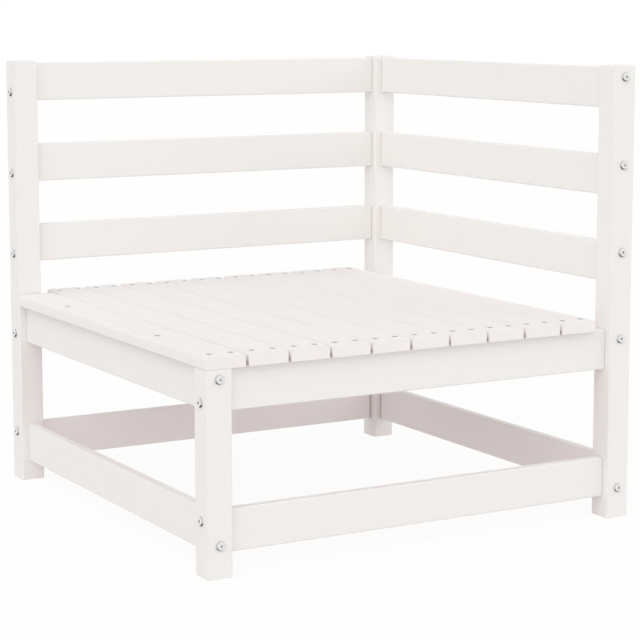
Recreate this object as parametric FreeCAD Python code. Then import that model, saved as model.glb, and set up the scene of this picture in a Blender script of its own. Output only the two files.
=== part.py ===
import FreeCAD, Part
import math
import os

# Corner seat for the garden, built from planed and painted pine.
# Three tall posts and one short leg are joined by flat rails, and slats screwed to the rails make the seat.
# Lengths are in millimetres. X runs along the front edge, +Y points to the back, +Z is up.
# The origin is on the floor, under the middle of the seat. Its open sides are -X and -Y.

# Overall size of the woodwork
WIDTH = 700.0
DEPTH = 700.0
HEIGHT = 670.0

# Posts
POST_SIDE = 38.0
POST_EASE = 3.0
POST_TOP_EASE = 2.0
FOOT_EASE = 1.2

# Rails, centred on the posts
RAIL_HEIGHT = 59.0
RAIL_THICKNESS = 15.0
RAIL_EASE = 2.0
END_EASE = 0.8
LOWER_RAIL_BOTTOM = 32.0
SEAT_RAIL_TOP = 283.0
REST_RAIL_DROP = 3.0
REST_SEAT_GAP = 51.0

# Seat slats, laid front to back
SLAT_WIDTH = 60.0
SLAT_THICKNESS = 18.0
SLAT_GAP = 4.0
SLAT_TOP_EASE = 5.0
SLAT_BOTTOM_EASE = 1.5
SLAT_OVERHANG = 1.0
SLAT_POST_CLEARANCE = 2.0

# Bolts through the posts into the rail ends
BOLT_DIAMETER = 6.0
BOLT_CLEARANCE = 0.25
BOLT_OFFSET = 16.0
BOLT_PAST_NUT = 2.0
BOLT_HEAD_DIAMETER = 13.0
BOLT_HEAD_HEIGHT = 3.0
BOLT_HEAD_DOME = 2.2
HEX_SIDES = 6
HEX_KEY = 4.0
HEX_DEPTH = 2.0
BORE_RUNOUT = 1.5

# Barrel nuts in the rails
NUT_DIAMETER = 10.0
NUT_SETBACK = 25.0
NUT_COVER = 1.5
NUT_CLEARANCE = 0.1
NUT_THREAD_CLEARANCE = 0.05
NUT_SLOT_WIDTH = 1.4
NUT_SLOT_DEPTH = 1.2

# Dowels that stop a rail from turning on its bolts
DOWEL_DIAMETER = 8.0
DOWEL_IN_POST = 11.0
DOWEL_IN_RAIL = 18.0
DOWEL_CLEARANCE = 0.05
DOWEL_END_GAP = 0.8
DOWEL_CHAMFER = 1.0

# Countersunk screws that hold the slats
SCREW_DIAMETER = 4.5
SCREW_HEAD_DIAMETER = 9.0
SCREW_HEAD_HEIGHT = 2.6
SCREW_SINK = 0.1
SCREW_BITE = 13.0
SCREW_POINT = 3.5
SCREW_CLEARANCE = 0.1
SCREW_EDGE = 14.0
SCREW_CROSS_SPAN = 5.0
SCREW_CROSS_WIDTH = 1.1
SCREW_CROSS_DEPTH = 1.6
EDGE_SCREW_SPACING = 320.0

# Places worked out from the sizes above
POST_LINE_X = (WIDTH - POST_SIDE) / 2
POST_LINE_Y = (DEPTH - POST_SIDE) / 2
INNER_WIDTH = WIDTH - 2 * POST_SIDE
INNER_DEPTH = DEPTH - 2 * POST_SIDE
SEAT_RAIL_BOTTOM = SEAT_RAIL_TOP - RAIL_HEIGHT
SEAT_TOP = SEAT_RAIL_TOP + SLAT_THICKNESS
SLAT_PITCH = SLAT_WIDTH + SLAT_GAP
SLAT_COUNT = int((WIDTH - POST_SIDE) // SLAT_PITCH)
NUT_LENGTH = RAIL_THICKNESS - 2 * NUT_COVER
BOLT_IN_RAIL = NUT_SETBACK + NUT_DIAMETER / 2 + BOLT_PAST_NUT
REST_RAIL_TOP = HEIGHT - REST_RAIL_DROP
REST_RAIL_LOWEST = SEAT_TOP + REST_SEAT_GAP

X_AXIS = FreeCAD.Vector(1, 0, 0)
Y_AXIS = FreeCAD.Vector(0, 1, 0)
Z_AXIS = FreeCAD.Vector(0, 0, 1)
CUT_MARGIN = 1.0
TOUCH = 1e-6

# Each side's turn about Z, the middle of its rails and the posts at its two ends
SIDES = {
    "front": (0, FreeCAD.Vector(0, -POST_LINE_Y, 0), ("front_left_leg", "front_right_post")),
    "back": (0, FreeCAD.Vector(0, POST_LINE_Y, 0), ("back_left_post", "corner_post")),
    "left": (90, FreeCAD.Vector(-POST_LINE_X, 0, 0), ("front_left_leg", "back_left_post")),
    "right": (90, FreeCAD.Vector(POST_LINE_X, 0, 0), ("front_right_post", "corner_post")),
}
POST_PLACES = {
    "front_left_leg": (-POST_LINE_X, -POST_LINE_Y, SEAT_RAIL_TOP, END_EASE),
    "back_left_post": (-POST_LINE_X, POST_LINE_Y, HEIGHT, POST_TOP_EASE),
    "corner_post": (POST_LINE_X, POST_LINE_Y, HEIGHT, POST_TOP_EASE),
    "front_right_post": (POST_LINE_X, -POST_LINE_Y, HEIGHT, POST_TOP_EASE),
}
REST_LEVELS = ("lower", "middle", "upper")
REST_RAIL_PITCH = (REST_RAIL_TOP - RAIL_HEIGHT - REST_RAIL_LOWEST) / (len(REST_LEVELS) - 1)


def placed(shape, placement):
    moved = shape.copy()
    moved.Placement = placement.multiply(shape.Placement)
    return moved


def edges_along(shape, axis):
    return [edge for edge in shape.Edges if abs(edge.tangentAt(edge.FirstParameter).dot(axis)) > 1 - TOUCH]


def edges_at_x(shape, x):
    found = []
    for edge in shape.Edges:
        box = edge.BoundBox
        if abs(box.XMin - x) < TOUCH and abs(box.XMax - x) < TOUCH:
            found.append(edge)
    return found


def board(length, width, thickness, eases, end_eases):
    """Planed board along X from 0, its width along Y and its thickness along Z, both centred.

    The eases are for the lower and the upper arrises, the end eases for the first and the last end.
    """
    corner = FreeCAD.Vector(0, -width / 2, -thickness / 2)
    shape = Part.makeBox(length, width, thickness, corner)
    for level, ease in zip((-thickness / 2, thickness / 2), eases):
        arrises = [edge for edge in edges_along(shape, X_AXIS) if abs(edge.CenterOfMass.z - level) < TOUCH]
        shape = shape.makeFillet(ease, arrises)
    for place, ease in zip((0, length), end_eases):
        shape = shape.makeFillet(ease, edges_at_x(shape, place))
    return shape


def hole(radius, start, direction, depth):
    """Drilled hole that starts a little above the surface that it enters."""
    return Part.makeCylinder(radius, depth + CUT_MARGIN, start - direction * CUT_MARGIN, direction)


def hexagon_prism(across_flats, depth):
    radius = across_flats / math.sqrt(3)
    corners = []
    for step in range(HEX_SIDES):
        angle = 2 * math.pi * step / HEX_SIDES
        corners.append(FreeCAD.Vector(radius * math.cos(angle), radius * math.sin(angle), 0))
    outline = Part.makePolygon(corners + corners[:1])
    return Part.Face(outline).extrude(Z_AXIS * depth)


def make_post(x, y, height, top_ease):
    upright = board(height, POST_SIDE, POST_SIDE, (POST_EASE, POST_EASE), (FOOT_EASE, top_ease))
    turn = FreeCAD.Rotation(Y_AXIS, -90)
    return placed(upright, FreeCAD.Placement(FreeCAD.Vector(x, y, 0), turn))


def make_rail(length):
    """Rail on edge, centred along X, with its height along Z."""
    flat = board(length, RAIL_HEIGHT, RAIL_THICKNESS, (RAIL_EASE, RAIL_EASE), (END_EASE, END_EASE))
    turn = FreeCAD.Rotation(X_AXIS, 90)
    return placed(flat, FreeCAD.Placement(FreeCAD.Vector(-length / 2, 0, 0), turn))


def make_bolt():
    """Bolt along -Z, with its head's underside at Z = 0."""
    head = Part.makeCylinder(BOLT_HEAD_DIAMETER / 2, BOLT_HEAD_HEIGHT)
    rim = [edge for edge in head.Edges if abs(edge.BoundBox.ZMin - BOLT_HEAD_HEIGHT) < TOUCH]
    head = head.makeFillet(BOLT_HEAD_DOME, rim)
    shank = Part.makeCylinder(BOLT_DIAMETER / 2, POST_SIDE + BOLT_IN_RAIL, FreeCAD.Vector(), -Z_AXIS)
    socket = hexagon_prism(HEX_KEY, HEX_DEPTH + CUT_MARGIN)
    socket.translate(Z_AXIS * (BOLT_HEAD_HEIGHT - HEX_DEPTH))
    return head.fuse(shank).removeSplitter().cut(socket)


def make_barrel_nut():
    """Barrel nut along Z, centred, with its cross hole along X and its slot on top."""
    barrel = Part.makeCylinder(NUT_DIAMETER / 2, NUT_LENGTH, Z_AXIS * (-NUT_LENGTH / 2))
    thread = Part.makeCylinder(
        BOLT_DIAMETER / 2 + NUT_THREAD_CLEARANCE, NUT_DIAMETER + 2 * CUT_MARGIN,
        X_AXIS * (-NUT_DIAMETER / 2 - CUT_MARGIN), X_AXIS)
    slot = Part.makeBox(
        NUT_DIAMETER + 2 * CUT_MARGIN, NUT_SLOT_WIDTH, NUT_SLOT_DEPTH + CUT_MARGIN,
        FreeCAD.Vector(-NUT_DIAMETER / 2 - CUT_MARGIN, -NUT_SLOT_WIDTH / 2, NUT_LENGTH / 2 - NUT_SLOT_DEPTH))
    return barrel.cut([thread, slot])


def make_dowel():
    """Dowel along X, from the post's side at negative X to the rail's side."""
    length = DOWEL_IN_POST + DOWEL_IN_RAIL
    peg = Part.makeCylinder(DOWEL_DIAMETER / 2, length, X_AXIS * -DOWEL_IN_POST, X_AXIS)
    ends = edges_at_x(peg, -DOWEL_IN_POST) + edges_at_x(peg, DOWEL_IN_RAIL)
    return peg.makeChamfer(DOWEL_CHAMFER, ends)


def make_slat_screw():
    """Countersunk screw along -Z, with the top of its head at Z = 0."""
    length = SLAT_THICKNESS - SCREW_SINK + SCREW_BITE
    head = Part.makeCone(
        SCREW_HEAD_DIAMETER / 2, SCREW_DIAMETER / 2, SCREW_HEAD_HEIGHT, FreeCAD.Vector(), -Z_AXIS)
    shank = Part.makeCylinder(
        SCREW_DIAMETER / 2, length - SCREW_HEAD_HEIGHT - SCREW_POINT, Z_AXIS * -SCREW_HEAD_HEIGHT, -Z_AXIS)
    point = Part.makeCone(
        SCREW_DIAMETER / 2, 0, SCREW_POINT, Z_AXIS * (SCREW_POINT - length), -Z_AXIS)
    cross = []
    for span_x, span_y in ((SCREW_CROSS_SPAN, SCREW_CROSS_WIDTH), (SCREW_CROSS_WIDTH, SCREW_CROSS_SPAN)):
        corner = FreeCAD.Vector(-span_x / 2, -span_y / 2, -SCREW_CROSS_DEPTH)
        cross.append(Part.makeBox(span_x, span_y, SCREW_CROSS_DEPTH + CUT_MARGIN, corner))
    return head.fuse([shank, point]).removeSplitter().cut(cross)


def slat_screw_hole():
    """Countersunk clearance hole through a slat, with the slat's top at Z = 0."""
    widening = (SCREW_HEAD_DIAMETER - SCREW_DIAMETER) / 2 / SCREW_HEAD_HEIGHT
    rise = SCREW_SINK + CUT_MARGIN
    shank_radius = SCREW_DIAMETER / 2 + SCREW_CLEARANCE
    head_radius = SCREW_HEAD_DIAMETER / 2 + SCREW_CLEARANCE
    countersink = Part.makeCone(
        head_radius + widening * rise, shank_radius, SCREW_HEAD_HEIGHT + rise, Z_AXIS * CUT_MARGIN, -Z_AXIS)
    return countersink.fuse(hole(shank_radius, FreeCAD.Vector(), -Z_AXIS, SLAT_THICKNESS + CUT_MARGIN))


def bolt_rise(side):
    """Bolt's height from mid-rail: opposite for the two ways rails run, so bolts don't meet in a post."""
    turn = SIDES[side][0]
    return BOLT_OFFSET if turn else -BOLT_OFFSET


def rail_list():
    """Name, side, bottom height and the bolt's offset from mid-height, for every rail."""
    rails = []
    for side in SIDES:
        rails.append((f"{side}_lower_rail", side, LOWER_RAIL_BOTTOM, -bolt_rise(side)))
        rails.append((f"{side}_seat_rail", side, SEAT_RAIL_BOTTOM, bolt_rise(side)))
    for side, word in (("back", "back"), ("right", "side")):
        for number, level in enumerate(REST_LEVELS):
            bottom = REST_RAIL_LOWEST + number * REST_RAIL_PITCH
            rails.append((f"{word}_rest_{level}_rail", side, bottom, bolt_rise(side)))
    return rails


nodes = {}
cuts = {}
groups = {}
for post_name, place in POST_PLACES.items():
    nodes[post_name] = make_post(*place)
    cuts[post_name] = []

# Rails, with the bolt, barrel nut and dowel of each end
bolt = make_bolt()
barrel_nut = make_barrel_nut()
dowel = make_dowel()
bolt_bore = BOLT_DIAMETER / 2 + BOLT_CLEARANCE
dowel_bore = DOWEL_DIAMETER / 2 + DOWEL_CLEARANCE
for rail_name, side, bottom, bolt_offset in rail_list():
    turn, middle, posts = SIDES[side]
    length = INNER_DEPTH if turn else INNER_WIDTH
    # Nuts go in from the faces that point away from the open front and left sides
    nut_face = -1 if turn else 1
    seat = FreeCAD.Placement(middle + Z_AXIS * (bottom + RAIL_HEIGHT / 2), FreeCAD.Rotation(Z_AXIS, turn))
    nodes[rail_name] = placed(make_rail(length), seat)
    cuts[rail_name] = []
    for end, post_name in zip((-1, 1), posts):
        outward = X_AXIS * end
        rail_end = outward * (length / 2)
        post_face = outward * (length / 2 + POST_SIDE)
        bolt_line = Z_AXIS * bolt_offset
        nut_middle = rail_end - outward * NUT_SETBACK + bolt_line
        nut_way = Y_AXIS * nut_face
        post_cuts = [
            hole(bolt_bore, post_face + bolt_line, -outward, POST_SIDE + CUT_MARGIN),
            hole(dowel_bore, rail_end, outward, DOWEL_IN_POST + DOWEL_END_GAP),
        ]
        rail_cuts = [
            hole(bolt_bore, rail_end + bolt_line, -outward, BOLT_IN_RAIL + BORE_RUNOUT),
            hole(dowel_bore, rail_end, -outward, DOWEL_IN_RAIL + DOWEL_END_GAP),
            hole(NUT_DIAMETER / 2 + NUT_CLEARANCE, nut_middle + nut_way * (RAIL_THICKNESS / 2), -nut_way,
                 RAIL_THICKNESS - NUT_COVER),
        ]
        cuts[post_name] += [placed(shape, seat) for shape in post_cuts]
        cuts[rail_name] += [placed(shape, seat) for shape in rail_cuts]
        bolt_seat = FreeCAD.Placement(post_face + bolt_line, FreeCAD.Rotation(Z_AXIS, outward))
        nut_turn = FreeCAD.Rotation(X_AXIS, nut_way.cross(X_AXIS), nut_way, "ZXY")
        nut_seat = FreeCAD.Placement(nut_middle, nut_turn)
        dowel_seat = FreeCAD.Placement(rail_end, FreeCAD.Rotation(X_AXIS, -outward))
        corner_name = post_name.rsplit("_", 1)[0]
        fasteners = {
            "bolts": (bolt, bolt_seat),
            "barrel_nuts": (barrel_nut, nut_seat),
            "dowels": (dowel, dowel_seat),
        }
        for kind, (shape, place) in fasteners.items():
            groups.setdefault(f"{corner_name}_{kind}", []).append(placed(shape, seat.multiply(place)))

# Seat slats, flush with the front of the posts and a little past the left side
slat_screw = make_slat_screw()
screw_hole = slat_screw_hole()
pilot_radius = SCREW_DIAMETER / 2 + SCREW_CLEARANCE
for number in range(SLAT_COUNT):
    slat_name = f"seat_slat_{number + 1:02d}"
    slat_middle = -WIDTH / 2 - SLAT_OVERHANG + SLAT_WIDTH / 2 + number * SLAT_PITCH
    meets_post = slat_middle - SLAT_WIDTH / 2 < -WIDTH / 2 + POST_SIDE
    slat_length = DEPTH - POST_SIDE - SLAT_POST_CLEARANCE if meets_post else DEPTH
    slat_eases = (SLAT_BOTTOM_EASE, SLAT_TOP_EASE)
    flat = board(slat_length, SLAT_WIDTH, SLAT_THICKNESS, slat_eases, (END_EASE, END_EASE))
    seat = FreeCAD.Placement(
        FreeCAD.Vector(slat_middle, -DEPTH / 2, SEAT_RAIL_TOP + SLAT_THICKNESS / 2),
        FreeCAD.Rotation(Z_AXIS, 90))
    nodes[slat_name] = placed(flat, seat)
    cuts[slat_name] = []
    screw_points = []
    for across in (-1, 1):
        screw_x = slat_middle + across * (SLAT_WIDTH / 2 - SCREW_EDGE)
        front_carrier = "front_left_leg" if screw_x < -WIDTH / 2 + POST_SIDE else "front_seat_rail"
        screw_points.append(("front", screw_x, -POST_LINE_Y, front_carrier))
        if meets_post:
            screw_points.append(("edge", -POST_LINE_X, across * EDGE_SCREW_SPACING / 2, "left_seat_rail"))
        else:
            screw_points.append(("back", screw_x, POST_LINE_Y, "back_seat_rail"))
    for row, x, y, carrier in screw_points:
        top = FreeCAD.Vector(x, y, SEAT_TOP)
        cuts[slat_name].append(placed(screw_hole, FreeCAD.Placement(top, FreeCAD.Rotation())))
        cuts[carrier].append(hole(pilot_radius, FreeCAD.Vector(x, y, SEAT_RAIL_TOP), -Z_AXIS, SCREW_BITE))
        screw_seat = FreeCAD.Placement(top - Z_AXIS * SCREW_SINK, FreeCAD.Rotation())
        groups.setdefault(f"{row}_slat_screws", []).append(placed(slat_screw, screw_seat))

for node_name, holes in cuts.items():
    nodes[node_name] = nodes[node_name].cut(holes)
for group_name, shapes in groups.items():
    nodes[group_name] = Part.makeCompound(shapes)

os.makedirs("parts", exist_ok=True)
whole = FreeCAD.BoundBox()
for node_name, shape in nodes.items():
    shape.exportStep(f"parts/{node_name}.step")
    whole.add(shape.BoundBox)
    print(f"{node_name}: {len(shape.Solids)} solids, {shape.Volume / 1000:.1f} cm3, valid {shape.isValid()}")
print(f"{len(nodes)} nodes, {whole.XLength:.2f} x {whole.YLength:.2f} x {whole.ZLength:.2f} mm")
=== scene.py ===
import math
import random

import bmesh
import bpy
from mathutils import Matrix, Vector


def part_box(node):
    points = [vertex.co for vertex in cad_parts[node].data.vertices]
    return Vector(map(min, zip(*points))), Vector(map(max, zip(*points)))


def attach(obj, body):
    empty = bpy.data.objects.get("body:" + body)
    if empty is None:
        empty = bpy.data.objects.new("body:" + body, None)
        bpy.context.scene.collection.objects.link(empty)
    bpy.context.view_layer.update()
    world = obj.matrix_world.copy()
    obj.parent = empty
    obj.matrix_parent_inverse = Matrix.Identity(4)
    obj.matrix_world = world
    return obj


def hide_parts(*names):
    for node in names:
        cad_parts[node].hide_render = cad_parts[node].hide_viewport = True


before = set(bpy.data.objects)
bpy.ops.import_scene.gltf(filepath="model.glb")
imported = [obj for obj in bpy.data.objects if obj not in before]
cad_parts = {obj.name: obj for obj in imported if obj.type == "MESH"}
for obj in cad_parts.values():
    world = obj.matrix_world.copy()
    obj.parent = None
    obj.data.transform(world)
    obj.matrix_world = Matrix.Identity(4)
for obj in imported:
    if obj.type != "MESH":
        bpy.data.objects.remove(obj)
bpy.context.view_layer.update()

# Woodwork, in metres: the arrises are eased as in the construction
POST_EASE = 0.003
POST_TOP_EASE = 0.002
FOOT_EASE = 0.0012
RAIL_EASE = 0.002
SLAT_TOP_EASE = 0.005
SLAT_BOTTOM_EASE = 0.0015
END_EASE = 0.0008
EASE_STEPS = 6
END_STEPS = 2
BOARD_STATIONS = 15
SLAT_BOW = 0.0004

# Pine, in metres: one ring, the log, and where its pith lies beside a board and how far it wanders
RING_WIDTH = 0.0052
LOG_LENGTH = 40.0
PITH_ACROSS = (-0.045, 0.045)
PITH_DEPTH = (0.012, 0.075)
PITH_SWAY = 0.030
PITH_LIFT = 0.024

# Rings, as shares of one: how far they waver, and where the latewood sets in and stops
RING_WAVER = 0.7
LATEWOOD_RISE = (0.35, 0.92)
LATEWOOD_FALL = (0.93, 1.0)

# Where paint is thin, and where an arris by a slat gets painted shade: metres from an arris, shares of the
# half width by a slat, and cloud levels
ARRIS_REACH = (0.0010, 0.0060)
SIDE_NEAR = (0.80, 0.90)
ARRIS_CLOUDS = (0.30, 0.66)
CLOUD_LEVEL = 0.45

# How thin it is: the share of an arris that is thin whatever the clouds, and what each cause adds; by a
# slat, painted shade
ARRIS_EVEN = 0.7
THIN_ARRIS = 0.20
GAP_LINE_SHADE = 0.40
THIN_LATEWOOD = 0.03
THIN_FIBRE = 0.08
THIN_CLOUD = 0.25

# Painted shade between two slats: shares of the half width, and metres below the top and from the end
SIDE_FACE = (0.98, 1.0)
GAP_SHADE_DEPTH = (0.008, 0.014)
GAP_SHADE_FROM_END = (0.0005, 0.003)

# Missing paint at a rail's joint, in metres, and a wider dark strip at the foot of the corner post, which
# is painted shade
JOINT_BARE = 0.0004
CORNER_JOINT_BARE_AND_SHADE = 0.0032
JOINT_FADE = 0.0012

# How much of the primer's colour shows as painted shade under the seat and as wear on the slats, and in how
# many metres the shade fades out
UNDER_SEAT_SHADE = 0.5
SEAT_WEAR = 0.2
UNDER_SEAT_SHADE_FADE = 0.004

# Fasteners, in metres
BOLT_DIAMETER = 0.006
BOLT_OFFSET = 0.016
BOLT_HEAD_DIAMETER = 0.013
BOLT_HEAD_HEIGHT = 0.003
BOLT_HEAD_DOME = 0.0022
BOLT_DOME_STEPS = 8
BOLT_PAST_NUT = 0.002
HEX_SIDES = 6
HEX_KEY = 0.004
HEX_DEPTH = 0.002
NUT_DIAMETER = 0.010
NUT_SETBACK = 0.025
NUT_COVER = 0.0015
NUT_CLEARANCE = 0.0001
NUT_EASE = 0.0004
NUT_SLOT_WIDTH = 0.0014
NUT_SLOT_DEPTH = 0.0012
SCREW_DIAMETER = 0.0045
SCREW_HEAD_DIAMETER = 0.009
SCREW_HEAD_HEIGHT = 0.0026
SCREW_SINK = 0.0001
SCREW_BITE = 0.013
SCREW_POINT = 0.0035
SCREW_CLEARANCE = 0.0001
SCREW_EDGE = 0.014
SCREW_CROSS_SPAN = 0.005
SCREW_CROSS_WIDTH = 0.0011
SCREW_CROSS_DEPTH = 0.0016
EDGE_SCREW_SPACING = 0.320
CUT_MARGIN = 0.001
ROUND_SIDES = 48

# Painted shade on a bolt's head: where it is, in shares of the radius, the way round and the height, and
# how much
SHADE_RIM = (0.74, 0.98)
SHADE_ROUND = (0.25, 0.85)
SHADE_EVEN = 0.22
SOCKET_SHADE = 0.3
SOCKET_REACH = (0.34, 0.40)
SOCKET_FLOOR = (0.05, 0.30)
SOCKET_MOUTH = (0.35, 0.90)

# Patterns in the zinc and the beech: between which levels of the noise they show, and the flecks' share
ZINC_CLOUDS = (0.42, 0.72)
BEECH_FLECKS = (0.55, 0.75)
FLECK_SHARE = 0.6

# How fine each noise is, per metre: along, across and through a board, or along X, Y and Z on small pieces
SWAY_FINENESS = (2.3, 1.0, 1.0)
LIFT_FINENESS = (1.7, 1.0, 1.0)
WAVER_FINENESS = (9.0, 120.0, 120.0)
FIBRE_FINENESS = (45.0, 1500.0, 1500.0)
CLOUD_FINENESS = (6.0, 22.0, 22.0)
PEEL_FINENESS = (700.0, 700.0, 700.0)
ZINC_FINENESS = (420.0, 420.0, 420.0)
SCRATCH_FINENESS = (2600.0, 2600.0, 900.0)
STEEL_FINENESS = (600.0, 600.0, 600.0)
FLECK_FINENESS = (500.0, 500.0, 900.0)
TONE_FINENESS = (90.0, 90.0, 220.0)

# Where in the noise the pith's sway and lift are read, and the noise's middle level
SWAY_LANE = (0.2, 0.6)
LIFT_LANE = (5.1, 0.9)
NOISE_MIDDLE = 0.5

# Roughness of each finish, what its patterns add or an arris takes away, and the paint's specular level
PAINT_ROUGHNESS = 0.58
FIBRE_ROUGHNESS = 0.10
CLOUD_ROUGHNESS = 0.08
ARRIS_SHEEN = 0.06
ZINC_ROUGHNESS = 0.20
ZINC_CLOUD_ROUGHNESS = 0.16
SCRATCH_ROUGHNESS = 0.08
RIM_SHADE_ROUGHNESS = 0.3
STEEL_ROUGHNESS = 0.38
STEEL_CLOUD_ROUGHNESS = 0.2
BEECH_ROUGHNESS = 0.62
BEECH_TONE_ROUGHNESS = 0.12
PAINT_SPECULAR = 0.28

# Relief of each finish, in metres, and the shares that latewood, fibres and the paint's peel have in it
PAINT_RELIEF = 0.000015
ZINC_RELIEF = 0.00002
STEEL_RELIEF = 0.00003
BEECH_RELIEF = 0.00004
LATEWOOD_RELIEF = 0.5
FIBRE_RELIEF = 0.5
PEEL_RELIEF = 0.12

# Camera, in metres and degrees, with lens and sensor in millimetres and the shift as a share of the frame
CAMERA_PLACE = (-1.504, -2.658, 0.751)
CAMERA_YAW = 29.857
CAMERA_PITCH = 7.566
CAMERA_LENS = 112.77
CAMERA_SENSOR = 36.0
CAMERA_SHIFT = -0.07

# Light: a tent with soft boxes, each with its elevation, azimuth and strength, over a lit floor
TENT = 0.253
SOFT_BOXES = (
    (20, 0, 1.33),
    (20, 135, 0.88),
    (20, 225, 1.30),
    (20, 315, 1.47),
    (52, 45, 0.46),
    (52, 180, 0.71),
    (52, 225, 1.31),
)
SOFT_BOX_FALLOFF = 8.0
FLOOR_SIZE = 40.0
FLOOR_WHITE = 1.0475
FLOOR_WHITE_SHARE = 0.80

# Colours, linear
PAINT = (0.881, 0.861, 0.839, 1.0)
# Thin paint; beside a slat its colour is also painted shade along the gap
PAINT_THIN_AND_GAP_LINE_SHADE = (0.802, 0.782, 0.760, 1.0)
# Dark colour of the painted shade between slats and of bare joints
PAINT_GAP_SHADE_AND_JOINT = (0.58, 0.545, 0.525, 1.0)
# Pink primer: wear on the slats, and painted shade under the seat
PRIMER_AND_UNDER_SEAT_SHADE = (0.89, 0.815, 0.825, 1.0)
ZINC = (0.86, 0.86, 0.86, 1.0)
ZINC_DULL = (0.74, 0.74, 0.74, 1.0)
# Painted shade at a bolt head's lower rim and in its socket
BOLT_SHADE = (0.06, 0.055, 0.05, 1.0)
# Dark steel for the screw heads: painted shade for their shaded, darkly reflecting look
DARK_STEEL = (0.43, 0.42, 0.41, 1.0)
DARK_STEEL_WORN = (0.53, 0.52, 0.51, 1.0)
BEECH = (0.56, 0.36, 0.19, 1.0)
BEECH_DARK = (0.42, 0.25, 0.12, 1.0)
WHITE = (1.0, 1.0, 1.0, 1.0)
FLOOR = (0.35, 0.35, 0.35, 1.0)
FLOOR_LIGHT = (0.445, 0.419, 0.412, 1.0)

# Tests on a mesh: how near counts as touching, in metres, and how closely a way has to follow an axis
TOUCH = 0.00002
ALONG_AXIS = 0.999
FACING_UP = 0.9

# Shading: edges sharper than the angle stay sharp, and large faces lead the normals
SMOOTH_ANGLE = math.radians(40)
LARGE_FACE_WEIGHT = 80

# Sockets of the node that mixes two colours
MIX_SHARE, MIX_FIRST, MIX_SECOND, MIX_RESULT = 0, 6, 7, 2

X, Y, Z = 0, 1, 2
AXES = (Vector((1, 0, 0)), Vector((0, 1, 0)), Vector((0, 0, 1)))
# The way towards the side of a bolt's head that gets painted shade
SHADE_WAY = Vector((-0.25, -0.25, -0.97))
SEED = 11
posts = ["front_left_leg", "back_left_post", "corner_post", "front_right_post"]
rails = sorted(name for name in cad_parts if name.endswith("_rail"))
slats = sorted(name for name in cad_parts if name.startswith("seat_slat"))
corner_rails = ["back_lower_rail", "right_lower_rail"]
random.seed(SEED)


class Socket:
    """An output of a node, with the arithmetic that adds Math nodes to its tree."""

    def __init__(self, recipe, output):
        self.recipe = recipe
        self.output = output

    def maths(self, operation, *values):
        inputs = dict(enumerate(values))
        return self.recipe.node("ShaderNodeMath", {"operation": operation}, inputs)

    def __add__(self, other):
        return self.maths("ADD", self, other)

    def __radd__(self, other):
        return self.maths("ADD", other, self)

    def __sub__(self, other):
        return self.maths("SUBTRACT", self, other)

    def __rsub__(self, other):
        return self.maths("SUBTRACT", other, self)

    def __mul__(self, other):
        return self.maths("MULTIPLY", self, other)

    def __rmul__(self, other):
        return self.maths("MULTIPLY", other, self)

    def __truediv__(self, other):
        return self.maths("DIVIDE", self, other)

    def __pow__(self, power):
        return self.maths("POWER", self, power)

    def __abs__(self):
        return self.maths("ABSOLUTE", self)

    def part_of_turn(self):
        return self.maths("FRACT", self)

    def root(self):
        return self.maths("SQRT", self)

    def least(self, other):
        return self.maths("MINIMUM", self, other)

    def most(self, other):
        return self.maths("MAXIMUM", self, other)

    def between(self, low, high):
        """0 at low, 1 at high, eased and held outside."""
        settings = {"interpolation_type": "SMOOTHSTEP"}
        inputs = {"Value": self, "From Min": low, "From Max": high, "To Min": 0.0, "To Max": 1.0}
        return self.recipe.node("ShaderNodeMapRange", settings, inputs)


class Recipe:
    """A node tree that is written as expressions."""

    def __init__(self, tree):
        self.tree = tree

    def node(self, kind, settings=None, inputs=None, output=0):
        made = self.tree.nodes.new(kind)
        for key, value in (settings or {}).items():
            setattr(made, key, value)
        for key, value in (inputs or {}).items():
            self.feed(made.inputs[key], value)
        return Socket(self, made.outputs[output]) if made.outputs else None

    def feed(self, socket, value):
        if isinstance(value, Socket):
            self.tree.links.new(value.output, socket)
        else:
            socket.default_value = value

    def parts(self, vector):
        return [self.node("ShaderNodeSeparateXYZ", inputs={0: vector}, output=k) for k in (X, Y, Z)]

    def attribute(self, name):
        return self.parts(self.node("ShaderNodeAttribute", {"attribute_name": name}, output="Vector"))

    def place(self):
        return self.parts(self.node("ShaderNodeTexCoord", output="Object"))

    def noise(self, place, fineness, detail=2.0, roughness=0.5):
        """Noise from 0 to 1 at a place of three values, each of them with its own fineness."""
        vector = self.node("ShaderNodeCombineXYZ", inputs={k: place[k] * fineness[k] for k in (X, Y, Z)})
        inputs = {"Vector": vector, "Scale": 1.0, "Detail": detail, "Roughness": roughness}
        return self.node("ShaderNodeTexNoise", inputs=inputs)

    def blend(self, share, first, second):
        inputs = {MIX_SHARE: share, MIX_FIRST: first, MIX_SECOND: second}
        return self.node("ShaderNodeMix", {"data_type": "RGBA"}, inputs, output=MIX_RESULT)

    def bump(self, height, distance):
        return self.node("ShaderNodeBump", inputs={"Height": height, "Distance": distance})


def new_material(name):
    material = bpy.data.materials.new(name)
    material.use_nodes = True
    return material, Recipe(material.node_tree), material.node_tree.nodes["Principled BSDF"]


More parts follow.
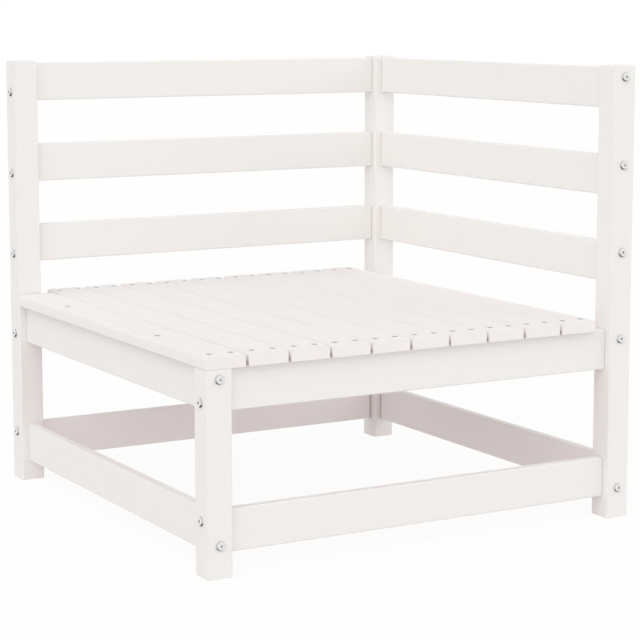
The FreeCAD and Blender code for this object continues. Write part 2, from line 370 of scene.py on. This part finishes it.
def pine_grain(recipe, along, across, depth):
    """Latewood in rings about the pith, fibres, clouds and the paint's peel, as they lie in one board."""
    shift, pith_across, pith_depth = recipe.attribute("timber")
    station = along + shift
    place = (station, across, depth)
    sway = recipe.noise((station, *SWAY_LANE), SWAY_FINENESS, detail=1.0) - NOISE_MIDDLE
    lift = recipe.noise((station, *LIFT_LANE), LIFT_FINENESS, detail=1.0) - NOISE_MIDDLE
    ring_across = across + pith_across + sway * PITH_SWAY
    ring_depth = depth + pith_depth + lift * PITH_LIFT
    radius = (ring_across * ring_across + ring_depth * ring_depth).root()
    waver = recipe.noise(place, WAVER_FINENESS, detail=2.0) - NOISE_MIDDLE
    ring = (radius / RING_WIDTH + waver * RING_WAVER).part_of_turn()
    latewood = ring.between(*LATEWOOD_RISE) * (1 - ring.between(*LATEWOOD_FALL))
    fibre = recipe.noise(place, FIBRE_FINENESS, detail=3.0, roughness=0.6)
    cloud = recipe.noise(place, CLOUD_FINENESS, detail=3.0)
    peel = recipe.noise(place, PEEL_FINENESS, detail=1.0)
    return latewood, fibre, cloud, peel


def painted_pine(name, wear):
    """Satin white paint over planed pine: growth rings and fibres just show, and arrises are thin; painted
    shade lies between slats, under the seat and at the corner post's joints.

    The wear is the share of the primer that shows all over.
    """
    material, recipe, surface = new_material(name)
    along, across, depth = recipe.attribute("grain")
    half_length, half_width, half_thickness = recipe.attribute("half_size")
    left, right, end_dark_length = recipe.attribute("slat_sides_and_dark_ends")
    latewood, fibre, cloud, peel = pine_grain(recipe, along, across, depth)
    side = across / half_width
    from_end = half_length - abs(along)

    def at_slat(low, high):
        """How close a point is to a side of its board that has another slat beside it."""
        return side.between(-low, -high) * left + side.between(low, high) * right

    # Paint draws back from the long arrises; beside another slat the arris also gets painted shade along
    # the gap
    from_arris = (half_width - abs(across)).most(half_thickness - abs(depth))
    patches = ARRIS_EVEN + cloud.between(*ARRIS_CLOUDS) * (1 - ARRIS_EVEN)
    arris = (1 - from_arris.between(*ARRIS_REACH)) * patches
    thin_grain = latewood * THIN_LATEWOOD + (fibre - NOISE_MIDDLE) * THIN_FIBRE
    thin_arris_and_gap_line_shade = arris * (THIN_ARRIS + at_slat(*SIDE_NEAR) * GAP_LINE_SHADE)
    thin = thin_grain + (cloud - CLOUD_LEVEL) * THIN_CLOUD + thin_arris_and_gap_line_shade
    coat = recipe.blend(thin.between(0.0, 1.0), PAINT, PAINT_THIN_AND_GAP_LINE_SHADE)

    # Painted shade under the seat: the boards there take the darker, pinker colour of the primer
    frame_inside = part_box("back_seat_rail")[0].y
    seat_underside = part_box(slats[0])[0].z
    x, y, z = recipe.place()
    within = abs(x).most(abs(y)).between(frame_inside + UNDER_SEAT_SHADE_FADE, frame_inside)
    under = within * z.between(seat_underside + UNDER_SEAT_SHADE_FADE, seat_underside)
    worn_and_under_seat_shade = recipe.blend((under * UNDER_SEAT_SHADE).most(wear), coat, PRIMER_AND_UNDER_SEAT_SHADE)

    # Painted shade deep down between two slats, and bare paint in a rail's joint, widened at the corner
    # post by painted shade
    down = (half_thickness - depth).between(*GAP_SHADE_DEPTH) * from_end.between(*GAP_SHADE_FROM_END)
    joint = (1 - (from_end - end_dark_length).between(0.0, JOINT_FADE)) * (end_dark_length / JOINT_BARE).least(1.0)
    gap_shade_and_joint = (at_slat(*SIDE_FACE) * down).most(joint)
    recipe.feed(surface.inputs["Base Color"], recipe.blend(gap_shade_and_joint, worn_and_under_seat_shade, PAINT_GAP_SHADE_AND_JOINT))
    roughness = PAINT_ROUGHNESS + fibre * FIBRE_ROUGHNESS + cloud * CLOUD_ROUGHNESS - arris * ARRIS_SHEEN
    recipe.feed(surface.inputs["Roughness"], roughness)
    height = latewood * LATEWOOD_RELIEF + fibre * FIBRE_RELIEF + peel * PEEL_RELIEF
    recipe.feed(surface.inputs["Normal"], recipe.bump(height, PAINT_RELIEF))
    surface.inputs["Specular IOR Level"].default_value = PAINT_SPECULAR
    return material


def zinc_plate():
    """Bright zinc plate, faintly brushed and spotted, with painted shade at the lower rim of a head and in
    its socket.
    """
    material, recipe, surface = new_material("zinc_plate")
    place = recipe.place()
    reach, below, rise = recipe.attribute("rim")
    cloud = recipe.noise(place, ZINC_FINENESS, detail=3.0)
    scratch = recipe.noise(place, SCRATCH_FINENESS, detail=2.0, roughness=0.7)
    in_socket = 1 - reach.between(*SOCKET_REACH)
    socket = in_socket * rise.between(*SOCKET_FLOOR) * (1 - rise.between(*SOCKET_MOUTH))
    # Painted shade at the lower rim, and lighter painted shade in the socket
    edge = reach.between(*SHADE_RIM) * (SHADE_EVEN + below.between(*SHADE_ROUND) * (1 - SHADE_EVEN))
    painted_shade = edge.most(socket * SOCKET_SHADE)
    metal = recipe.blend(cloud.between(*ZINC_CLOUDS), ZINC, ZINC_DULL)
    recipe.feed(surface.inputs["Base Color"], recipe.blend(painted_shade, metal, BOLT_SHADE))
    plate_roughness = ZINC_ROUGHNESS + cloud * ZINC_CLOUD_ROUGHNESS + scratch * SCRATCH_ROUGHNESS
    recipe.feed(surface.inputs["Roughness"], plate_roughness + painted_shade * RIM_SHADE_ROUGHNESS)
    recipe.feed(surface.inputs["Normal"], recipe.bump(scratch, ZINC_RELIEF))
    surface.inputs["Metallic"].default_value = 1.0
    return material


def dark_steel():
    """Screw heads in dark steel, which is painted shade for their shaded, darkly reflecting look."""
    material, recipe, surface = new_material("dark_steel")
    cloud = recipe.noise(recipe.place(), STEEL_FINENESS, detail=3.0)
    recipe.feed(surface.inputs["Base Color"], recipe.blend(cloud, DARK_STEEL, DARK_STEEL_WORN))
    recipe.feed(surface.inputs["Roughness"], STEEL_ROUGHNESS + cloud * STEEL_CLOUD_ROUGHNESS)
    recipe.feed(surface.inputs["Normal"], recipe.bump(cloud, STEEL_RELIEF))
    surface.inputs["Metallic"].default_value = 1.0
    return material


def bare_beech():
    """Turned beech with short dark flecks."""
    material, recipe, surface = new_material("bare_beech")
    place = recipe.place()
    fleck = recipe.noise(place, FLECK_FINENESS, detail=3.0)
    tone = recipe.noise(place, TONE_FINENESS, detail=2.0)
    share = fleck.between(*BEECH_FLECKS) * FLECK_SHARE + tone * (1 - FLECK_SHARE)
    recipe.feed(surface.inputs["Base Color"], recipe.blend(share, BEECH, BEECH_DARK))
    recipe.feed(surface.inputs["Roughness"], BEECH_ROUGHNESS + tone * BEECH_TONE_ROUGHNESS)
    recipe.feed(surface.inputs["Normal"], recipe.bump(fleck, BEECH_RELIEF))
    return material


def only(piece):
    """Makes a piece the one selected and active object."""
    bpy.ops.object.select_all(action="DESELECT")
    piece.select_set(True)
    bpy.context.view_layer.objects.active = piece


def edit(piece, kind):
    only(piece)
    bpy.ops.object.mode_set(mode="EDIT")
    bpy.ops.mesh.select_mode(type=kind)
    bpy.ops.mesh.select_all(action="DESELECT")


def pick(piece, kind, wanted):
    """Selects only the vertices, edges or faces that wanted() is true of."""
    bpy.ops.mesh.select_all(action="DESELECT")
    shape = bmesh.from_edit_mesh(piece.data)
    for element in getattr(shape, kind):
        if wanted(element):
            element.select_set(True)
    shape.select_flush_mode()
    bmesh.update_edit_mesh(piece.data)


def done(piece):
    bpy.ops.object.mode_set(mode="OBJECT")
    return piece


def apply_modifier(piece, kind, **settings):
    only(piece)
    modifier = piece.modifiers.new(kind.lower(), kind)
    for key, value in settings.items():
        setattr(modifier, key, value)
    bpy.ops.object.modifier_apply(modifier=modifier.name)


def join(pieces):
    bpy.ops.object.select_all(action="DESELECT")
    for piece in pieces:
        piece.select_set(True)
    bpy.context.view_layer.objects.active = pieces[0]
    if len(pieces) > 1:
        bpy.ops.object.join()
    return pieces[0]


def cut_with(piece, cutters):
    """Cuts cutters that don't meet each other out of a piece, and deletes them."""
    cutter = join(cutters)
    apply_modifier(piece, "BOOLEAN", operation="DIFFERENCE", solver="EXACT", object=cutter)
    bpy.data.objects.remove(cutter)


def finish_mesh(piece, material):
    """Smooths the rounded stretches, keeps the flats flat and gives the finish."""
    only(piece)
    bpy.ops.object.shade_smooth_by_angle(angle=SMOOTH_ANGLE)
    apply_modifier(piece, "WEIGHTED_NORMAL", keep_sharp=True, weight=LARGE_FACE_WEIGHT)
    piece.data.materials.clear()
    piece.data.materials.append(material)


def stand_for(piece, node):
    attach(piece, "root")
    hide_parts(node)


def add_block(low, high):
    low, high = Vector(low), Vector(high)
    bpy.ops.object.select_all(action="DESELECT")
    bpy.ops.mesh.primitive_cube_add(size=1.0, location=(low + high) / 2, scale=high - low)
    bpy.ops.object.transform_apply(location=True, rotation=False, scale=True)
    return bpy.context.active_object


def runs_along(edge, axis):
    way = (edge.verts[1].co - edge.verts[0].co).normalized()
    return abs(way[axis]) > ALONG_AXIS


def lies_at(edge, axis, place):
    return all(abs(vert.co[axis] - place) < TOUCH for vert in edge.verts)


def make_board(node, axis, side_axis, eases, first_ease=END_EASE, last_ease=END_EASE):
    """A planed board cut into stations along its length, with eased ends and arrises.

    The two eases are for the arrises at the low and the high side along side_axis.
    """
    low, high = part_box(node)
    piece = add_block(low, high)
    piece.name = f"painted_{node}"
    edit(piece, "EDGE")
    for place, ease in zip((low[side_axis], high[side_axis]), eases):
        pick(piece, "edges", lambda edge: runs_along(edge, axis) and lies_at(edge, side_axis, place))
        bpy.ops.mesh.bevel(offset=ease, segments=EASE_STEPS, affect="EDGES")
    for place, end_ease in ((low[axis], first_ease), (high[axis], last_ease)):
        pick(piece, "edges", lambda edge: lies_at(edge, axis, place))
        bpy.ops.mesh.bevel(offset=end_ease, segments=END_STEPS, affect="EDGES")
    half = (high[axis] - low[axis]) / 2
    pick(piece, "edges", lambda edge: runs_along(edge, axis) and edge.calc_length() > half)
    bpy.ops.mesh.subdivide(number_cuts=BOARD_STATIONS)
    return done(piece)


def mark(piece, name, values):
    """Stores one vector per vertex."""
    layer = piece.data.attributes.new(name, "FLOAT_VECTOR", "POINT")
    layer.data.foreach_set("vector", [number for value in values for number in value])


def mark_grain(piece, node, axis, across_axis, sides=(0, 0), ends=(0, 0)):
    """Stores each point's place in its board, the board's half size, its place in the log, its slat sides
    and dark ends.

    The slat sides are 1 where another slat lies beside; at each end is the length in metres that is
    darkened.
    """
    low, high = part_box(node)
    middle = (low + high) / 2
    order = (axis, across_axis, X + Y + Z - axis - across_axis)
    half = [(high[k] - low[k]) / 2 for k in order]
    log = (random.uniform(0.0, LOG_LENGTH), random.uniform(*PITH_ACROSS), random.uniform(*PITH_DEPTH))
    grain = [[vert.co[k] - middle[k] for k in order] for vert in piece.data.vertices]
    first_end, last_end = ends
    slat_sides_and_dark_ends = [(*sides, last_end if along > 0 else first_end) for along, across, depth in grain]
    mark(piece, "grain", grain)
    mark(piece, "half_size", [half] * len(grain))
    mark(piece, "timber", [log] * len(grain))
    mark(piece, "slat_sides_and_dark_ends", slat_sides_and_dark_ends)


def bow(piece, node):
    """A slat that has moved a little since it was planed."""
    low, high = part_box(node)
    middle = (low.y + high.y) / 2
    reach = (high.y - low.y) / 2
    edit(piece, "VERT")
    pick(piece, "verts", lambda vert: abs(vert.co.y - middle) < reach / BOARD_STATIONS)
    sideways = random.uniform(-SLAT_BOW, SLAT_BOW)
    bpy.ops.transform.translate(
        value=(sideways, 0, 0), use_proportional_edit=True, proportional_edit_falloff="SMOOTH",
        proportional_size=reach)
    done(piece)


def turned(profile, sides=ROUND_SIDES):
    """A round piece about Z, through (radius, height) pairs from the bottom up."""
    (first, low), (second, high) = profile[:2]
    bpy.ops.object.select_all(action="DESELECT")
    bpy.ops.mesh.primitive_cone_add(
        vertices=sides, radius1=first, radius2=second, depth=high - low, location=(0, 0, (low + high) / 2))
    bpy.ops.object.transform_apply(location=True, rotation=False, scale=False)
    piece = bpy.context.active_object
    edit(piece, "FACE")

    def is_top(face):
        return face.normal.z > FACING_UP and face.calc_center_median().z > high - TOUCH

    for radius, height in profile[2:]:
        pick(piece, "faces", is_top)
        bpy.ops.mesh.extrude_region_move(TRANSFORM_OT_translate={"value": (0, 0, height - high)})
        spread = radius / second
        bpy.ops.transform.resize(value=(spread, spread, 1))
        second, high = radius, height
    return done(piece)


def make_bolt(reach):
    """Bolt along -Z with its head's underside at Z = 0, a domed head and a hex socket."""
    shank = BOLT_DIAMETER / 2
    head = BOLT_HEAD_DIAMETER / 2
    bolt = turned([(shank, -reach), (shank, 0), (head, 0), (head, BOLT_HEAD_HEIGHT)])
    edit(bolt, "EDGE")
    pick(bolt, "edges", lambda edge: lies_at(edge, Z, BOLT_HEAD_HEIGHT))
    bpy.ops.mesh.bevel(offset=BOLT_HEAD_DOME, segments=BOLT_DOME_STEPS, affect="EDGES")
    done(bolt)
    key = HEX_KEY / math.sqrt(3)
    socket = turned([(key, BOLT_HEAD_HEIGHT - HEX_DEPTH), (key, BOLT_HEAD_HEIGHT + CUT_MARGIN)], HEX_SIDES)
    cut_with(bolt, [socket])
    return bolt


def make_barrel_nut(length):
    """Barrel nut along Z, centred, with its cross hole along X and a screwdriver slot on top."""
    radius = NUT_DIAMETER / 2
    nut = turned([(radius, -length / 2), (radius, length / 2)])
    edit(nut, "EDGE")
    pick(nut, "edges", lambda edge: lies_at(edge, Z, -length / 2) or lies_at(edge, Z, length / 2))
    bpy.ops.mesh.bevel(offset=NUT_EASE, segments=END_STEPS, affect="EDGES")
    done(nut)
    reach = radius + CUT_MARGIN
    bore = BOLT_DIAMETER / 2
    thread = turned([(bore, -reach), (bore, reach)])
    thread.data.transform(Matrix.Rotation(math.pi / 2, 4, "Y"))
    slot = add_block(
        (-reach, -NUT_SLOT_WIDTH / 2, length / 2 - NUT_SLOT_DEPTH),
        (reach, NUT_SLOT_WIDTH / 2, length / 2 + CUT_MARGIN))
    cut_with(nut, [thread, slot])
    return nut


def make_screw(length):
    """Countersunk screw along -Z with the top of its head at Z = 0 and a cross recess."""
    shank = SCREW_DIAMETER / 2
    head = SCREW_HEAD_DIAMETER / 2
    screw = turned([(0, -length), (shank, SCREW_POINT - length), (shank, -SCREW_HEAD_HEIGHT), (head, 0)])
    for span_x, span_y in ((SCREW_CROSS_SPAN, SCREW_CROSS_WIDTH), (SCREW_CROSS_WIDTH, SCREW_CROSS_SPAN)):
        low = (-span_x / 2, -span_y / 2, -SCREW_CROSS_DEPTH)
        high = (span_x / 2, span_y / 2, CUT_MARGIN)
        cut_with(screw, [add_block(low, high)])
    return screw


def make_screw_cutter(thickness):
    """The shape of a countersunk hole through a slat whose top is at Z = 0."""
    flare = (SCREW_HEAD_DIAMETER - SCREW_DIAMETER) / 2 / SCREW_HEAD_HEIGHT
    bore = SCREW_DIAMETER / 2 + SCREW_CLEARANCE
    rim = SCREW_HEAD_DIAMETER / 2 + SCREW_CLEARANCE + flare * (SCREW_SINK + CUT_MARGIN)
    return turned([
        (bore, -thickness - CUT_MARGIN), (bore, -SCREW_SINK - SCREW_HEAD_HEIGHT), (rim, CUT_MARGIN)])


def make_nut_cutter(depth):
    """The shape of a blind hole from Z = 0 down."""
    radius = NUT_DIAMETER / 2 + NUT_CLEARANCE
    return turned([(radius, -depth), (radius, CUT_MARGIN)])


def copy_to(model, place, way, side=None):
    """A copy of a model with its +Z along way, and its +X along side where that is given."""
    if side is None:
        turn = way.to_track_quat("Z", "Y").to_matrix()
    else:
        turn = Matrix((side, way.cross(side), way)).transposed()
    made = model.copy()
    made.data = model.data.copy()
    bpy.context.scene.collection.objects.link(made)
    made.data.transform(Matrix.Translation(place) @ turn.to_4x4())
    return made


def mark_rim(piece, place, way):
    """Stores how far out each point of a bolt is, how far round to the side with painted shade, and how
    high it is.
    """
    values = []
    for vert in piece.data.vertices:
        height = (vert.co - place).dot(way)
        outward = vert.co - place - way * height
        reach = outward.length
        below = outward.dot(SHADE_WAY) / max(reach, TOUCH)
        values.append((reach / (BOLT_HEAD_DIAMETER / 2), below, height / BOLT_HEAD_HEIGHT))
    mark(piece, "rim", values)


paint = painted_pine("painted_pine", wear=0.0)
seat_paint = painted_pine("painted_pine_worn", wear=SEAT_WEAR)
zinc = zinc_plate()
steel = dark_steel()
beech = bare_beech()

# Posts
for node in posts:
    top_ease = END_EASE if node == "front_left_leg" else POST_TOP_EASE
    post = make_board(node, Z, X, (POST_EASE, POST_EASE), FOOT_EASE, top_ease)
    mark_grain(post, node, Z, X)
    finish_mesh(post, paint)
    stand_for(post, node)

# Rails, with the holes that take the barrel nuts
post_low, post_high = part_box("corner_post")
post_side = post_high.x - post_low.x
rail_low, rail_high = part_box("front_seat_rail")
rail_thickness = rail_high.y - rail_low.y
nut_cutter = make_nut_cutter(rail_thickness - NUT_COVER)
bolt_places = {}
nut_places = {}
for node in rails:
    low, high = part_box(node)
    middle = (low + high) / 2
    axis = X if high.x - low.x > high.y - low.y else Y
    through = AXES[Y if axis == X else X]
    bottom_rail = node.endswith("_lower_rail") and "rest" not in node
    raised = (axis == Y) != bottom_rail
    rail = make_board(node, axis, Z, (RAIL_EASE, RAIL_EASE))
    holes = []
    for end, sign in ((low, -1), (high, 1)):
        outward = AXES[axis] * sign
        face = Vector(middle)
        face[axis] = end[axis]
        face.z += BOLT_OFFSET if raised else -BOLT_OFFSET
        nut_middle = face - outward * NUT_SETBACK
        holes.append(copy_to(nut_cutter, nut_middle + through * (rail_thickness / 2), through))
        head_seat = face + outward * post_side
        post = min(posts, key=lambda name: (sum(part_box(name), Vector()) / 2 - head_seat).xy.length)
        corner = post.rsplit("_", 1)[0]
        bolt_places.setdefault(f"{corner}_bolts", []).append((head_seat, outward))
        nut_places.setdefault(f"{corner}_barrel_nuts", []).append((nut_middle, through, AXES[axis]))
    cut_with(rail, holes)
    # Rails at the corner post's foot get a wider dark end: a bare joint and painted shade
    last_dark_length = CORNER_JOINT_BARE_AND_SHADE if node in corner_rails else JOINT_BARE
    mark_grain(rail, node, axis, Z, ends=(JOINT_BARE, last_dark_length))
    finish_mesh(rail, paint)
    stand_for(rail, node)

# Slats, with their countersunk screw holes
front_line = sum(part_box("front_seat_rail"), Vector()).y / 2
back_line = sum(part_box("back_seat_rail"), Vector()).y / 2
left_line = sum(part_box("left_seat_rail"), Vector()).x / 2
slat_low, slat_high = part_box(slats[0])
slat_thickness = slat_high.z - slat_low.z
screw_cutter = make_screw_cutter(slat_thickness)
screw_places = {"front_slat_screws": [], "back_slat_screws": [], "edge_slat_screws": []}
for node in slats:
    low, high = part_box(node)
    middle = (low + high) / 2
    slat = make_board(node, Y, Z, (SLAT_BOTTOM_EASE, SLAT_TOP_EASE))
    bow(slat, node)
    points = []
    for sign in (-1, 1):
        screw_x = middle.x + sign * ((high.x - low.x) / 2 - SCREW_EDGE)
        points.append(("front_slat_screws", screw_x, front_line))
        if high.y < back_line:
            points.append(("edge_slat_screws", left_line, sign * EDGE_SCREW_SPACING / 2))
        else:
            points.append(("back_slat_screws", screw_x, back_line))
    holes = []
    for group, x, y in points:
        top = Vector((x, y, high.z))
        holes.append(copy_to(screw_cutter, top, AXES[Z]))
        screw_places[group].append((top - AXES[Z] * SCREW_SINK, AXES[Z]))
    cut_with(slat, holes)
    mark_grain(slat, node, Y, X, sides=(node != slats[0], node != slats[-1]))
    finish_mesh(slat, seat_paint)
    stand_for(slat, node)

# Bolts, barrel nuts and screws, each modelled once and copied
bolt_model = make_bolt(post_side + NUT_SETBACK + NUT_DIAMETER / 2 + BOLT_PAST_NUT)
nut_model = make_barrel_nut(rail_thickness - 2 * NUT_COVER)
screw_model = make_screw(slat_thickness - SCREW_SINK + SCREW_BITE)
for model, places, material in (
        (bolt_model, bolt_places, zinc), (nut_model, nut_places, zinc), (screw_model, screw_places, steel)):
    for node, spots in places.items():
        copies = [copy_to(model, *spot) for spot in spots]
        if model is bolt_model:
            for piece, (place, way) in zip(copies, spots):
                mark_rim(piece, place, way)
        group = join(copies)
        group.name = f"steel_{node}"
        finish_mesh(group, material)
        stand_for(group, node)
for model in (bolt_model, nut_model, screw_model, nut_cutter, screw_cutter):
    bpy.data.objects.remove(model)

# Dowels are the construction's own solids
for node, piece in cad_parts.items():
    if node.endswith("_dowels"):
        piece.data.materials.clear()
        piece.data.materials.append(beech)


def seen_directly(recipe):
    """1 for rays that show the background: straight, reflected or through glass."""
    straight = recipe.node("ShaderNodeLightPath", output="Is Camera Ray")
    reflected = recipe.node("ShaderNodeLightPath", output="Is Glossy Ray")
    through_glass = recipe.node("ShaderNodeLightPath", output="Is Transmission Ray")
    return straight.most(reflected).most(through_glass)


def make_floor():
    """Lit floor panel that is seen as white but keeps the object's soft shadow."""
    bpy.ops.object.select_all(action="DESELECT")
    bpy.ops.mesh.primitive_plane_add(size=FLOOR_SIZE, location=(0, 0, 0))
    floor = bpy.context.active_object
    floor.name = "floor"
    material = bpy.data.materials.new("pale_floor")
    material.use_nodes = True
    material.node_tree.nodes.clear()
    recipe = Recipe(material.node_tree)
    matt = recipe.node("ShaderNodeBsdfDiffuse", inputs={"Color": FLOOR})
    panel = recipe.node("ShaderNodeEmission", inputs={"Color": FLOOR_LIGHT, "Strength": 1.0})
    lit = recipe.node("ShaderNodeAddShader", inputs={0: matt, 1: panel})
    white = recipe.node("ShaderNodeEmission", inputs={"Color": WHITE, "Strength": FLOOR_WHITE})
    share = seen_directly(recipe) * FLOOR_WHITE_SHARE
    mixed = recipe.node("ShaderNodeMixShader", inputs={0: share, 1: lit, 2: white})
    recipe.node("ShaderNodeOutputMaterial", inputs={"Surface": mixed})
    floor.data.materials.append(material)


def make_world():
    """A white tent with soft boxes behind its walls."""
    world = bpy.data.worlds.new("studio")
    bpy.context.scene.world = world
    world.use_nodes = True
    recipe = Recipe(world.node_tree)
    seen = seen_directly(recipe)
    way = recipe.node("ShaderNodeTexCoord", output="Generated")
    light = TENT
    for elevation, azimuth, strength in SOFT_BOXES:
        rise, turn = math.radians(elevation), math.radians(azimuth)
        towards = (math.cos(rise) * math.cos(turn), math.cos(rise) * math.sin(turn), math.sin(rise))
        nearness = recipe.node(
            "ShaderNodeVectorMath", {"operation": "DOT_PRODUCT"}, {0: way, 1: towards}, output="Value")
        light = light + nearness.most(0.0) ** SOFT_BOX_FALLOFF * strength
    background = world.node_tree.nodes["Background"]
    recipe.feed(background.inputs["Strength"], light * (1 - seen) + seen)
    background.inputs["Color"].default_value = WHITE


def make_camera():
    bpy.ops.object.camera_add(
        location=CAMERA_PLACE,
        rotation=(math.radians(90 - CAMERA_PITCH), 0, math.radians(-CAMERA_YAW)))
    camera = bpy.context.active_object
    camera.data.lens = CAMERA_LENS
    camera.data.sensor_width = CAMERA_SENSOR
    camera.data.shift_y = CAMERA_SHIFT
    bpy.context.scene.camera = camera


make_floor()
make_world()
make_camera()
bpy.context.scene.view_settings.view_transform = "Standard"
